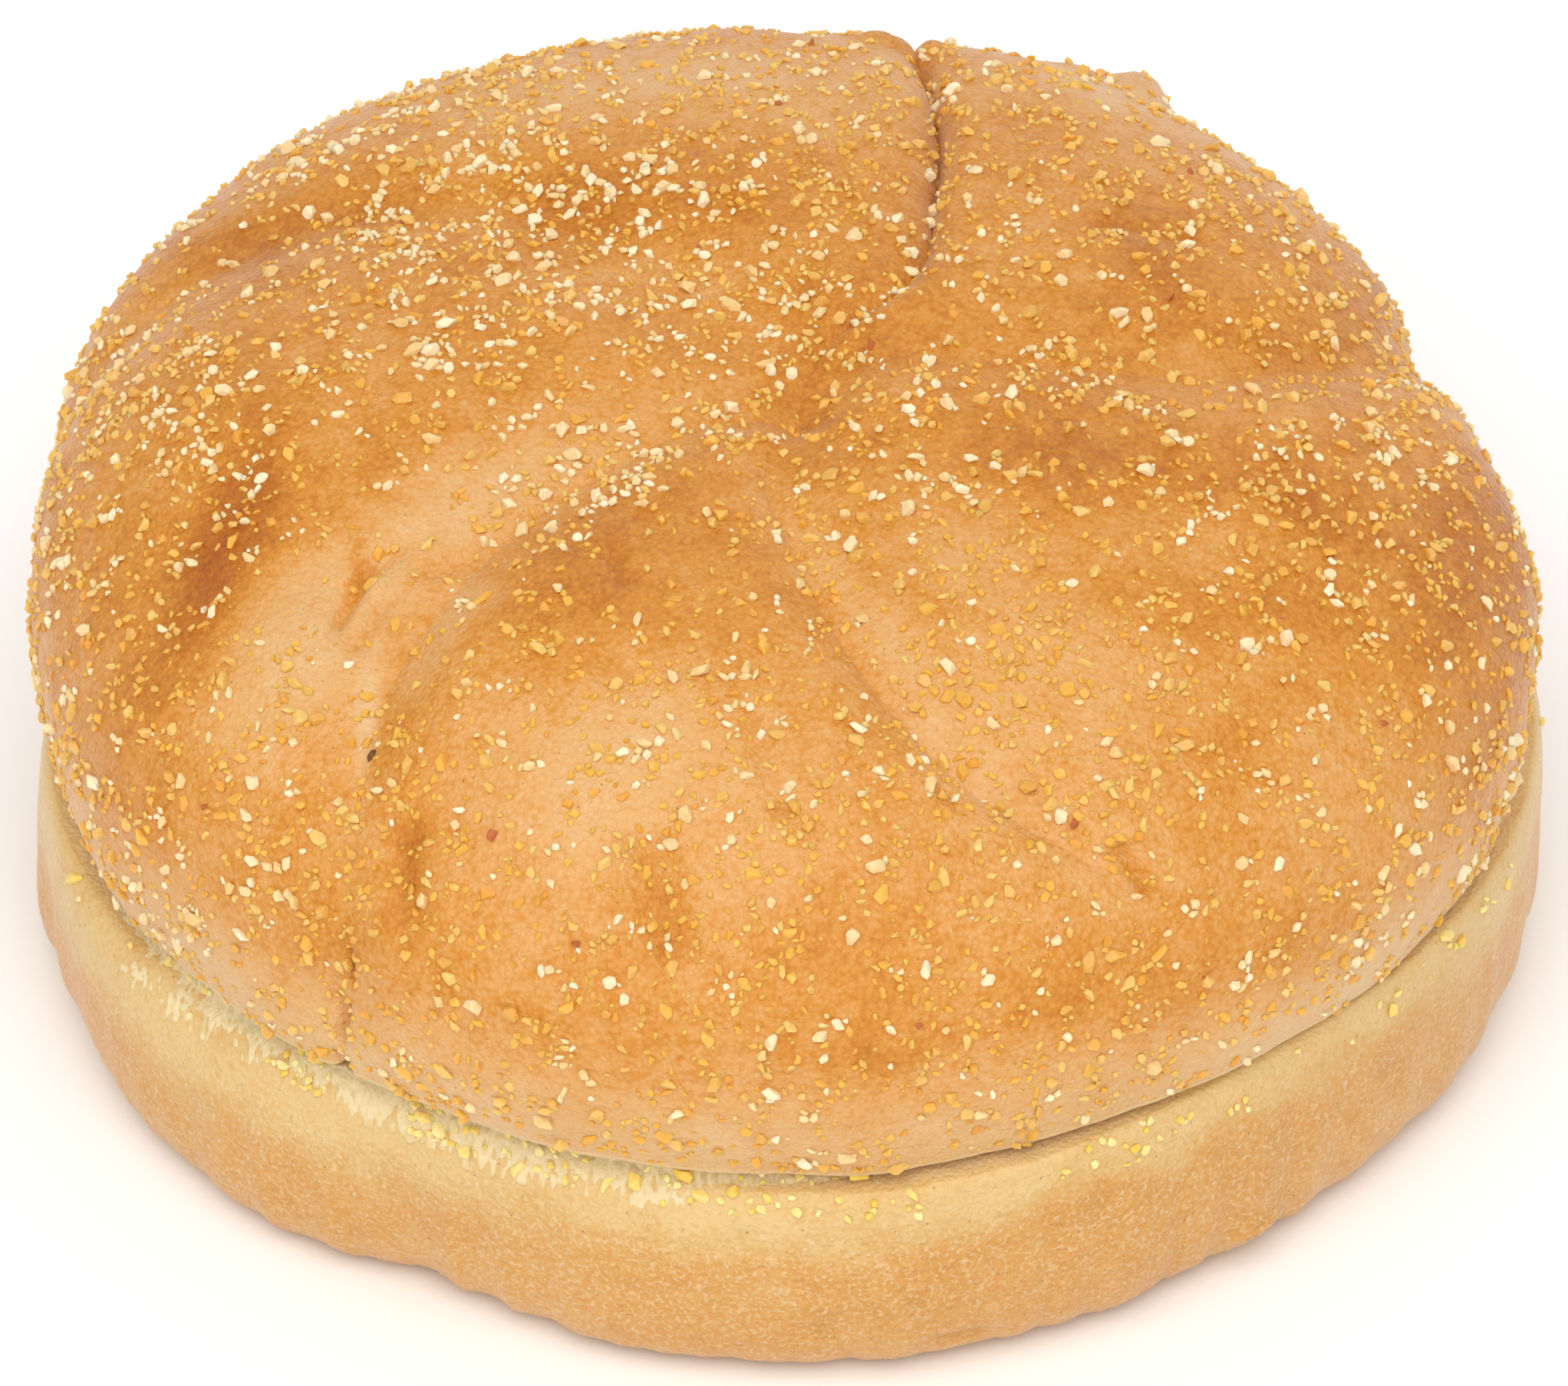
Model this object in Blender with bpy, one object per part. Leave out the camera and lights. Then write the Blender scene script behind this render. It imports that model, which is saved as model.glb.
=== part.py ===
"""Kaiser roll dusted with cornmeal: one solid, standing on its flat base.

A round cap, marked by five creases that turn about a sunken centre, overhangs a torn seam,
and a lower, fuller ring carries it. The largest grits of cornmeal are fused to the crust.
Metres, +Z up, origin under the middle of the roll, the seam's widest tear towards -Y and -X.
"""

import math
import random

import bmesh
import bpy
import numpy as np
from mathutils import Euler, Matrix, Vector, noise
from mathutils.bvhtree import BVHTree

MM = 0.001

# The cap: a flattened dome whose middle stands a little behind the ring's.
CAP_RADIUS = 55.9 * MM
CAP_MIDDLE = np.array([-1.2, -0.2]) * MM
CAP_SHOULDER_Z = 27.7 * MM
CAP_TOP_Z = 50.4 * MM
DOME_POWER = 2.75
CAP_OUTLINE = ((2, -0.008, -0.017), (3, 0.003, -0.008), (4, -0.003, -0.008))
SWIRL_MIDDLE = np.array([1.2, -6.0]) * MM

# The seam under the cap's lip, and the ring below it.
LIP_Z = 20.2 * MM
LIP_WAVE = 0.7 * MM
LIP_WAVE_AT = math.radians(-122)
LIP_TUCK = 1.3 * MM
LIP_ROUND = 0.7 * MM
LIP_CALM = 0.75
SEAM_DEPTH = 4.6 * MM
SEAM_CLOSED = 0.5 * MM
ROOT_TOP = 0.2
ROOT_FOOT = 0.8
RING_RADIUS = 55.7 * MM
RING_MIDDLE = np.array([0.2, -0.9]) * MM
RING_OUTLINE = ((2, 0.007, 0.001), (3, 0.004, -0.005), (4, 0.0, 0.008), (5, 0.003, -0.011))
RING_WIDEST_Z = 10.0 * MM
SHOULDER_IN = 1.1 * MM
SHOULDER_TORN_IN = 1.5
SHOULDER_POWER = 2.2
FOOT_IN = 6.0 * MM
FOOT_POWER = 2.8
FOOT_LOBE = 0.9 * MM
FOOT_LOBE_WAVES = 2.2
FOOT_LOBE_START = 5.0

# Where the foot is flattened (or, with a depth below nothing, swollen): angle and reach in degrees,
# depth in mm.
FOOT_CUTS = (
    (-170, 4, -0.45),
    (-161, 5, 0.65),
    (-146, 5, 0.3),
    (-120.5, 7.5, 1.7),
    (-109, 2.5, 0.5),
    (-104, 4, -0.8),
    (-61, 3, 0.3),
    (-51, 10, 0.7),
    (-38, 3, 0.3),
    (-6, 5, 0.25),
)

# Each crease: angle in degrees and depth in mm at five stations from the swirl's middle to the rim,
# the reach in mm of its clockwise and counter-clockwise slopes, and how sharp its bottom is. They are
# in order round the cap.
CREASES = (
    ((80, 23, 7, 9.5, 18), (1.8, 1.0, 1.5, 2.1, 2.6), 4.5, 7.0, 0.2),
    ((95, 60, 66.5, 73.5, 80), (1.8, 1.2, 3.1, 3.3, 1.8), 1.4, 2.3, 1.0),
    ((103, 115, 131.5, 148, 170), (1.8, 1.3, 1.4, 1.6, 1.1), 6.0, 8.0, 0.1),
    ((175, 204, 217.5, 227, 236), (1.8, 1.8, 2.4, 2.4, 1.3), 9.0, 4.0, 0.4),
    ((235, 267, 279, 289, 302), (1.8, 1.4, 1.8, 1.7, 0.1), 3.0, 7.0, 0.8),
)
CREASE_FALL = 1.6
CREASE_JOIN = 4

# Swells and hollows of the petals: angle in degrees, place from middle to rim, reach and height in mm.
SWELLS = (
    (181, 0.69, 12, 1.4),
    (-15, 0.62, 15, 1.0),
    (-108, 0.62, 15, 0.9),
    (40, 0.66, 14, 0.9),
    (112, 0.60, 14, 0.5),
    (58.5, 0.96, 2.7, 2.6),
    (64, 0.965, 2.4, 1.2),
    (88, 0.92, 4, -0.7),
    (136, 0.97, 5, 0.5),
    (180, 0.97, 3.5, -0.5),
    (-5, 1.0, 6, 0.8),
    (9, 0.97, 4, -0.5),
    (-150, 0.70, 3.0, -0.5),
    (-96, 0.86, 4.0, -0.7),
    (-120, 0.84, 3.5, -0.7),
)

# Tears of the seam: angle in degrees, reach in degrees, and how far it gapes in mm.
TEARS = (
    (-138, 22, 1.5),
    (-105, 18, 1.2),
    (-52, 13, 0.6),
    (35, 30, 0.5),
    (120, 26, 0.8),
)

# The mesh: columns follow the creases from the middle to the base.
PETAL_COLUMNS = 18
CREASE_CROWDING = 0.55
DOME_ROWS = 19
SIDE_ROWS = 4
SHOULDER_ROWS = 4
FOOT_ROWS = 4
UNEVENNESS = ((19 * MM, 0.6 * MM), (8 * MM, 0.25 * MM))

# The grits that are fused on.
GRIT_COUNT = 140
GRIT_SIZE = (0.6 * MM, 0.85 * MM)
GRIT_SPACING = 3.0 * MM
GRIT_PROUD = 0.2
GRIT_REACH = 8 * MM
GRIT_SEED = 11

CRUST_COLOUR = (0.70, 0.36, 0.12, 1.0)
CRUST_ROUGHNESS = 0.55


def clear_scene():
    for obj in list(bpy.data.objects):
        bpy.data.objects.remove(obj, do_unlink=True)


def smooth_through(values, place):
    """A curve through values given at evenly spaced stations, read at place from 0 to 1."""
    values = np.asarray(values, float)
    last = len(values) - 1
    span = np.clip(np.asarray(place, float) * last, 0, last - 1e-9)
    i = span.astype(int)
    t = span - i
    before = values[np.maximum(i - 1, 0)]
    here, after = values[i], values[i + 1]
    beyond = values[np.minimum(i + 2, last)]
    slope_in, slope_out = (after - before) / 2, (beyond - here) / 2
    return (
        here * (2 * t**3 - 3 * t**2 + 1)
        + slope_in * (t**3 - 2 * t**2 + t)
        + after * (3 * t**2 - 2 * t**3)
        + slope_out * (t**3 - t**2)
    )


def turned(angle):
    """The angle brought between minus and plus half a turn."""
    return (angle + math.pi) % (2 * math.pi) - math.pi


def crease_angle(crease, place):
    return np.radians(smooth_through(crease[0], place))


def column_angles(place, columns):
    """Angles of all columns at a place from middle to rim: they run along the creases and between them."""
    steps = np.arange(columns) / columns
    steps = steps - CREASE_CROWDING * np.sin(2 * np.pi * steps) / (2 * np.pi)
    angles = []
    for crease, following in zip(CREASES, CREASES[1:] + CREASES[:1]):
        start = crease_angle(crease, place)
        stop = crease_angle(following, place)
        if following is CREASES[0]:
            stop = stop + 2 * np.pi
        angles.extend(start + (stop - start) * steps)
    return np.array(angles)


def uneven_round(radius, outline, angle):
    """A circle's radius, swollen and pinched by waves: how many, and their cosine and sine shares."""
    swell = sum(c * np.cos(n * angle) + s * np.sin(n * angle) for n, c, s in outline)
    return radius * (1 + swell)


def cap_radius(angle):
    return uneven_round(CAP_RADIUS, CAP_OUTLINE, angle)


def dome_point(place, angle):
    """Point and outward normal of the smooth dome."""
    rim = CAP_MIDDLE + (cap_radius(angle) * np.array([np.cos(angle), np.sin(angle)])).T
    plan = SWIRL_MIDDLE * (1 - place) + rim * place
    out = plan - CAP_MIDDLE
    reach = np.hypot(out[..., 0], out[..., 1])
    share = np.clip(reach / cap_radius(np.arctan2(out[..., 1], out[..., 0])), 0, 1)
    height = CAP_TOP_Z - CAP_SHOULDER_Z
    rise = (1 - share**DOME_POWER) ** (1 / DOME_POWER)
    outward = share ** (DOME_POWER - 1) / CAP_RADIUS
    upward = rise ** (DOME_POWER - 1) / height
    length = np.hypot(outward, upward)
    unit = out / np.maximum(reach, 1e-9)[..., None]
    point = np.column_stack([plan, CAP_SHOULDER_Z + height * rise])
    normal = np.column_stack([unit * (outward / length)[..., None], upward / length])
    return point, normal


def dome_places(rows):
    """Places from the middle to the rim, evenly spaced along the dome's profile."""
    turn = np.linspace(0, np.pi / 2, 400)
    share = np.sin(turn) ** (2 / DOME_POWER)
    rise = np.cos(turn) ** (2 / DOME_POWER)
    step = np.hypot(np.diff(share) * CAP_RADIUS, np.diff(rise) * (CAP_TOP_Z - CAP_SHOULDER_Z))
    travelled = np.concatenate([[0], np.cumsum(step)])
    return np.interp(np.linspace(0, travelled[-1], rows + 1), travelled, share)


def crust_relief(place, angle):
    """Height of the crust over the smooth dome: creases cut in, swells raised."""
    radius = place * CAP_RADIUS
    cut = np.zeros_like(angle)
    for crease in CREASES:
        off = turned(angle - crease_angle(crease, place)) * radius / MM
        reach = np.where(off > 0, crease[3], crease[2])
        near = np.abs(off) / reach
        shape = crease[4] * np.exp(-CREASE_FALL * near) + (1 - crease[4]) * np.exp(-(near**2))
        cut += (smooth_through(crease[1], place) * shape) ** CREASE_JOIN
    relief = -(cut ** (1 / CREASE_JOIN))
    for at, along, reach, height in SWELLS:
        at = math.radians(at)
        off_x = radius * np.cos(angle) - along * CAP_RADIUS * math.cos(at)
        off_y = radius * np.sin(angle) - along * CAP_RADIUS * math.sin(at)
        relief += height * np.exp(-(off_x**2 + off_y**2) / (reach * MM) ** 2)
    return relief * MM


def unevenness(points):
    """The crust's soft lumps, as waves of a few lengths and heights."""
    raised = [sum(noise.noise(Vector(p / wave)) * height for wave, height in UNEVENNESS) for p in points]
    return np.array(raised)


def seam_gape(angle):
    """Height of the seam's mouth."""
    gape = np.full_like(angle, SEAM_CLOSED)
    for at, reach, height in TEARS:
        off = turned(angle - math.radians(at)) / math.radians(reach)
        gape += height * MM * np.exp(-(off**2))
    return gape


def cap_rows():
    """Rows of points from the first ring round the middle down to the lip's edge."""
    rows = []
    for place in dome_places(DOME_ROWS)[1:]:
        angle = column_angles(place, PETAL_COLUMNS)
        point, normal = dome_point(place, angle)
        raised = crust_relief(place, angle) + unevenness(point)
        rows.append(point + normal * raised[:, None])
    angle = column_angles(1.0, PETAL_COLUMNS)
    unit = np.column_stack([np.cos(angle), np.sin(angle)])
    lip_z = LIP_Z + LIP_WAVE * np.cos(5 * (angle - LIP_WAVE_AT))
    rim_relief = crust_relief(1.0, angle)
    for fall in np.linspace(0, 1, SIDE_ROWS + 1)[1:]:
        radius = cap_radius(angle) - LIP_TUCK * fall**2 + rim_relief * (1 - LIP_CALM * fall)
        plan = CAP_MIDDLE + unit * radius[:, None]
        height = CAP_SHOULDER_Z + (lip_z + LIP_ROUND - CAP_SHOULDER_Z) * fall
        row = np.column_stack([plan, height])
        rows.append(row + np.column_stack([unit, 0 * angle]) * unevenness(row)[:, None])
    return rows, angle, lip_z


def seam_rows(edge, angle, lip_z):
    """The lip's rounded edge, the seam's root, and the torn face under it."""
    unit = np.column_stack([np.cos(angle), np.sin(angle)])
    gape = seam_gape(angle)
    under = edge[:, :2] - unit * LIP_ROUND
    root = edge[:, :2] - unit * SEAM_DEPTH
    yield np.column_stack([under, lip_z])
    yield np.column_stack([root, lip_z - ROOT_TOP * gape])
    yield np.column_stack([root, lip_z - ROOT_FOOT * gape])


def foot_lobes(angle):
    """How far the foot swells out, or is flattened."""
    unit = np.column_stack([np.cos(angle), np.sin(angle)]) * FOOT_LOBE_WAVES
    lobes = FOOT_LOBE * np.array([noise.noise(Vector((x, y, FOOT_LOBE_START))) for x, y in unit])
    for at, reach, depth in FOOT_CUTS:
        off = turned(angle - math.radians(at)) / math.radians(reach)
        lobes -= depth * MM * np.exp(-(off**2))
    return lobes


def ring_rows(angle, lip_z):
    """The ring: its round shoulder below the seam, its widest part, and the foot."""
    unit = np.column_stack([np.cos(angle), np.sin(angle)])
    gape = seam_gape(angle)
    shoulder_z = lip_z - gape
    shoulder_in = SHOULDER_IN + SHOULDER_TORN_IN * (gape - SEAM_CLOSED)
    widest = uneven_round(RING_RADIUS, RING_OUTLINE, angle)
    lobes = foot_lobes(angle)
    for turn in np.linspace(math.pi / 2, 0, SHOULDER_ROWS + 1):
        above = math.sin(turn) ** (2 / SHOULDER_POWER)
        inward = shoulder_in * (1 - math.cos(turn) ** (2 / SHOULDER_POWER))
        radius = widest - inward + lobes * (1 - above) / 2
        height = RING_WIDEST_Z + (shoulder_z - RING_WIDEST_Z) * above
        yield np.column_stack([RING_MIDDLE + unit * radius[:, None], height])
    for turn in np.linspace(0, math.pi / 2, FOOT_ROWS + 1)[1:]:
        below = math.sin(turn) ** (2 / FOOT_POWER)
        inward = FOOT_IN * (1 - math.cos(turn) ** (2 / FOOT_POWER))
        radius = widest - inward + lobes * (1 + below) / 2
        height = np.full_like(angle, RING_WIDEST_Z * (1 - below))
        yield np.column_stack([RING_MIDDLE + unit * radius[:, None], height])


def base_solid():
    """The bare roll, as one closed mesh of rows joined by faces."""
    rows, angle, lip_z = cap_rows()
    rows.extend(seam_rows(rows[-1], angle, lip_z))
    rows.extend(ring_rows(angle, lip_z))
    middle, upward = dome_point(0.0, np.zeros(1))
    top = middle[0] + upward[0] * crust_relief(0.0, np.zeros(1))[0]
    mesh = bmesh.new()
    loops = [[mesh.verts.new(point) for point in row] for row in rows]
    summit = mesh.verts.new(top)
    foot = mesh.verts.new((0, 0, 0))
    count = len(loops[0])
    for i in range(count):
        j = (i + 1) % count
        mesh.faces.new((summit, loops[0][i], loops[0][j]))
        mesh.faces.new((foot, loops[-1][j], loops[-1][i]))
        for upper, lower in zip(loops, loops[1:]):
            mesh.faces.new((upper[i], lower[i], lower[j], upper[j]))
    bmesh.ops.recalc_face_normals(mesh, faces=mesh.faces)
    return mesh


def crust_material():
    material = bpy.data.materials.new("baked_crust")
    material.use_nodes = True
    shader = material.node_tree.nodes["Principled BSDF"]
    shader.inputs["Base Color"].default_value = CRUST_COLOUR
    shader.inputs["Roughness"].default_value = CRUST_ROUGHNESS
    return material


def grit_places(crust, rng):
    """Places on the crust for the grits, spread evenly over the cap and kept apart."""
    places = []
    while len(places) < GRIT_COUNT:
        angle = np.array([rng.uniform(0, 2 * math.pi)])
        point, normal = dome_point(math.sqrt(rng.uniform(0.01, 0.97)), angle)
        outward = Vector(normal[0])
        at, facing, _, _ = crust.ray_cast(Vector(point[0]) + outward * GRIT_REACH, -outward)
        if at is not None and all((at - other).length > GRIT_SPACING for other, _ in places):
            places.append((at, facing))
    return places


def make_grit(name, at, normal, rng, collection):
    """An angular grit: an icosahedron drawn out and flattened, part sunk in the crust."""
    size = rng.uniform(*GRIT_SIZE)
    stretch = Vector((rng.uniform(0.8, 1.1), rng.uniform(0.6, 0.9), rng.uniform(0.5, 0.8))) * size
    turn = Euler([rng.uniform(0, 2 * math.pi) for _ in range(3)]).to_matrix().to_4x4()
    mesh = bmesh.new()
    bmesh.ops.create_icosphere(mesh, subdivisions=1, radius=1.0)
    place = Matrix.Translation(at + normal * size * GRIT_PROUD) @ turn @ Matrix.Diagonal(stretch.to_4d())
    bmesh.ops.transform(mesh, matrix=place, verts=mesh.verts)
    data = bpy.data.meshes.new(name)
    mesh.to_mesh(data)
    mesh.free()
    grit = bpy.data.objects.new(name, data)
    collection.objects.link(grit)
    return grit


def fuse_grits(roll):
    """One union joins the largest grits to the crust."""
    rng = random.Random(GRIT_SEED)
    grits = bpy.data.collections.new("grits")
    bpy.context.scene.collection.children.link(grits)
    crust = BVHTree.FromPolygons([v.co for v in roll.data.vertices], [p.vertices for p in roll.data.polygons])
    for number, (at, normal) in enumerate(grit_places(crust, rng)):
        make_grit(f"grit_{number}", at, normal, rng, grits)
    union = roll.modifiers.new("fuse_grits", "BOOLEAN")
    union.operation = "UNION"
    union.operand_type = "COLLECTION"
    union.collection = grits
    union.solver = "EXACT"
    bpy.context.view_layer.objects.active = roll
    bpy.ops.object.modifier_apply(modifier=union.name)
    for grit in list(grits.objects):
        bpy.data.objects.remove(grit, do_unlink=True)
    bpy.data.collections.remove(grits)


def make_roll():
    data = bpy.data.meshes.new("kaiser_roll")
    mesh = base_solid()
    mesh.to_mesh(data)
    mesh.free()
    data.materials.append(crust_material())
    roll = bpy.data.objects.new("kaiser_roll", data)
    bpy.context.scene.collection.objects.link(roll)
    fuse_grits(roll)
    roll.data.shade_smooth()
    roll.data.set_sharp_from_angle(angle=math.radians(40))
    return roll


clear_scene()
make_roll()
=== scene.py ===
"""Kaiser roll dusted with cornmeal: its finished look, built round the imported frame.

One closed crust stands for the solid roll. A band of torn crumb fills the seam under the cap's lip,
and cornmeal grits of four colours lie on the crust, with a few flecks of bran and one seed.
Metres, +Z up, the seam's widest tear towards -Y and -X.
"""

import math

import bpy
import numpy as np
from mathutils import Matrix, Vector, noise
from mathutils.bvhtree import BVHTree


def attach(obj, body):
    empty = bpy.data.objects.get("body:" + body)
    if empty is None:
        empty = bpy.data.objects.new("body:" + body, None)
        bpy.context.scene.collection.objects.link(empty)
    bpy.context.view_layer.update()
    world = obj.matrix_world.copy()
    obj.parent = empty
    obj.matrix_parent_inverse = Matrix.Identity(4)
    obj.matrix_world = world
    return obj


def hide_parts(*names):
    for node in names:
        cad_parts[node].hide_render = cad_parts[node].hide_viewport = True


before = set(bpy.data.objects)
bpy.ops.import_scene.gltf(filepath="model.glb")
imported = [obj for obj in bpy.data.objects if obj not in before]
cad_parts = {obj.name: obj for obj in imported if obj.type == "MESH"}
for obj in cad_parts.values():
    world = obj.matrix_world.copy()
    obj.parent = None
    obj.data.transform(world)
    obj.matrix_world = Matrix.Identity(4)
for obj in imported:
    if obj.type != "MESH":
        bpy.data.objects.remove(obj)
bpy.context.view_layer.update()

MM = 0.001

# The photograph's view: its size in pixels, and the camera's place round the roll.
PHOTO_WIDTH = 2044
PHOTO_FOCUS = 13968
CAMERA_ELEVATION = math.radians(41)
CAMERA_DISTANCE = 0.8
CAMERA_AIM = Vector((-0.2, -0.9, 18.5)) * MM

# The cap: a flattened dome whose middle stands a little behind the ring's and left of it. The waves
# of both outlines are a least-squares fit to the photograph's outline, rounded to three decimals.
CAP_RADIUS = 55.9 * MM
CAP_MIDDLE = np.array([-1.2, -0.2]) * MM
CAP_SHOULDER_Z = 27.7 * MM
CAP_TOP_Z = 50.4 * MM
DOME_POWER = 2.75
CAP_OUTLINE = ((2, -0.008, -0.017), (3, 0.003, -0.008), (4, -0.003, -0.008))
SWIRL_MIDDLE = np.array([1.2, -6.0]) * MM

# The lip and the seam under it.
LIP_Z = 20.2 * MM
LIP_WAVE = 0.7 * MM
LIP_WAVES = 5
LIP_WAVE_AT = math.radians(-122)
LIP_TUCK = 1.3 * MM
LIP_ROUND = 0.7 * MM
LIP_CALM = 0.75
LIP_RAGGED = ((1.7 * MM, 0.16 * MM), (6.0 * MM, 0.3 * MM))
SEAM_DEPTH = 4.6 * MM
SEAM_CLOSED = 0.5 * MM

# Shares of the seam's gape: where its root begins and how high that is, and the torn ledge below it.
ROOT_TOP = 0.2
ROOT_HEIGHT = 0.6
LEDGE_TOP = 0.8
LEDGE_HEIGHT = 0.2

# The ring below the seam.
RING_RADIUS = 55.7 * MM
RING_MIDDLE = np.array([0.2, -0.9]) * MM
RING_OUTLINE = ((2, 0.007, 0.001), (3, 0.004, -0.005), (4, 0.0, 0.008), (5, 0.003, -0.011))
RING_WIDEST_Z = 10.0 * MM
SHOULDER_IN = 1.1 * MM
SHOULDER_TORN_IN = 1.5
SHOULDER_POWER = 2.2
FOOT_IN = 6.0 * MM
FOOT_POWER = 2.8
FOOT_LOBE = 0.9 * MM
FOOT_LOBE_WAVES = 2.2
FOOT_LOBE_START = 5.0
FOOT_LOBE_AT_WIDEST = 0.5
FOOT_STEPS = ((5.0 * MM, 0.35 * MM), (1.8 * MM, 0.12 * MM))
FOOT_TEETH = 3.0 * MM
FOOT_TOOTH = 0.2 * MM
FOOT_TOOTH_STEPS = 3
RING_UNEVENNESS = 0.7

# Where the foot is flattened (or, with a depth below nothing, swollen): angle and reach in degrees,
# depth in mm.
FOOT_CUTS = (
    (-170, 4, -0.45),
    (-161, 5, 0.65),
    (-146, 5, 0.3),
    (-120.5, 7.5, 1.7),
    (-109, 2.5, 0.5),
    (-104, 4, -0.8),
    (-61, 3, 0.3),
    (-51, 10, 0.7),
    (-38, 3, 0.3),
    (-6, 5, 0.25),
)

# Each crease: angle in degrees and depth in mm at five stations from the swirl's middle to the rim,
# the reach in mm of its clockwise and counter-clockwise slopes, and how sharp its bottom is.
CREASES = (
    ((80, 23, 7, 9.5, 18), (1.8, 1.0, 1.5, 2.1, 2.6), 4.5, 7.0, 0.2),
    ((95, 60, 66.5, 73.5, 80), (1.8, 1.2, 3.1, 3.3, 1.8), 1.4, 2.3, 1.0),
    ((103, 115, 131.5, 148, 170), (1.8, 1.3, 1.4, 1.6, 1.1), 6.0, 8.0, 0.1),
    ((175, 204, 217.5, 227, 236), (1.8, 1.8, 2.4, 2.4, 1.3), 9.0, 4.0, 0.4),
    ((235, 267, 279, 289, 302), (1.8, 1.4, 1.8, 1.7, 0.1), 3.0, 7.0, 0.8),
)
CREASE_FALL = 1.6
CREASE_JOIN = 4

# Swells and hollows of the petals: angle in degrees, place from middle to rim, reach and height in mm.
SWELLS = (
    (181, 0.69, 12, 1.4),
    (-15, 0.62, 15, 1.0),
    (-108, 0.62, 15, 0.9),
    (40, 0.66, 14, 0.9),
    (112, 0.60, 14, 0.5),
    (58.5, 0.96, 2.7, 2.6),
    (64, 0.965, 2.4, 1.2),
    (88, 0.92, 4, -0.7),
    (136, 0.97, 5, 0.5),
    (180, 0.97, 3.5, -0.5),
    (-5, 1.0, 6, 0.8),
    (9, 0.97, 4, -0.5),
    (-150, 0.70, 3.0, -0.5),
    (-96, 0.86, 4.0, -0.7),
    (-120, 0.84, 3.5, -0.7),
)

# Tears of the seam: angle in degrees, reach in degrees, and how far it gapes in mm.
TEARS = (
    (-138, 22, 1.5),
    (-105, 18, 1.2),
    (-52, 13, 0.6),
    (35, 30, 0.5),
    (120, 26, 0.8),
)

# The crust's mesh: rings of vertices from the summit to the foot, in columns that follow the creases.
PETAL_COLUMNS = 92
CREASE_CROWDING = 0.6
DOME_ROWS = 118
SIDE_ROWS = 15
LIP_ROWS = 6
UNDER_ROWS = 5
ROOT_ROWS = 3
LEDGE_ROWS = 6
SHOULDER_ROWS = 24
FOOT_ROWS = 22
BASE_ROWS = 5
SEAM_ROW = DOME_ROWS + SIDE_ROWS + LIP_ROWS
RING_ROW = SEAM_ROW + UNDER_ROWS + ROOT_ROWS + LEDGE_ROWS - 1
UNEVENNESS = ((19 * MM, 0.6 * MM), (8 * MM, 0.25 * MM), (3.2 * MM, 0.09 * MM))

# Colours from pale to dark, as browning grows: of the cap, and of the paler ring.
CRUST_SHADES = (
    (0.0, "#E2C08C"),
    (0.2, "#DFB278"),
    (0.4, "#DCA15B"),
    (0.55, "#D28A2C"),
    (0.7, "#BC7014"),
    (0.85, "#AC5C0A"),
    (1.0, "#8E4408"),
)
RING_SHADES = (
    (0.0, "#E0BE80"),
    (0.2, "#D9AD68"),
    (0.4, "#D69B4E"),
    (0.7, "#C08234"),
    (1.0, "#A0602A"),
)

# Fine grooves, folds and scars of the crust: angle in degrees and distance in mm down from the summit of
# both ends, width and height in mm. Grooves have a negative height.
STROKES = (
    (-146.4, 34.4, -146.1, 37.6, 0.8, -0.6),
    (-146.1, 37.6, -141.8, 42.4, 0.8, -0.8),
    (-143.8, 37.4, -140.4, 41.4, 0.8, 0.5),
    (-141.3, 38.4, -139.0, 42.6, 0.8, -0.6),
    (-141.5, 33.5, -139.5, 30.5, 0.9, -0.38),
    (-118.8, 23.5, -114.6, 25.7, 0.9, -0.5),
    (-112.0, 34.0, -108.0, 35.5, 1.3, -0.3),
    (-101.5, 50.0, -98.5, 59.0, 1.7, -0.9),
    (-122.5, 55.0, -119.5, 61.0, 1.6, -0.8),
    (-94.0, 37.0, -90.0, 46.0, 0.9, -0.45),
    (-124.1, 66.8, -123.9, 69.2, 0.35, -0.9),
    (-124.3, 72.0, -124.8, 75.5, 0.4, -1.0),
    (-125.2, 78.0, -125.2, 81.0, 0.7, -0.9),
    (-61.8, 55.0, -61.0, 59.0, 0.7, -0.8),
    (-75.2, 44.8, -74.4, 47.8, 0.35, -0.25),
    (35.3, 32.6, 26.9, 38.9, 1.2, -0.4),
    (82.0, 52.0, 76.5, 54.5, 1.0, 0.9),
    (-92.8, 92.5, -92.6, 96.0, 0.3, -0.5),
    (-87.4, 102.5, -87.2, 102.9, 0.6, -0.4),
    (-78.5, 105.3, -75.5, 105.3, 0.7, -0.5),
    (-53.5, 104.9, -50.0, 104.4, 0.8, 0.6),
    (-39.0, 97.0, -38.2, 99.5, 0.3, -0.4),
)

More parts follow.
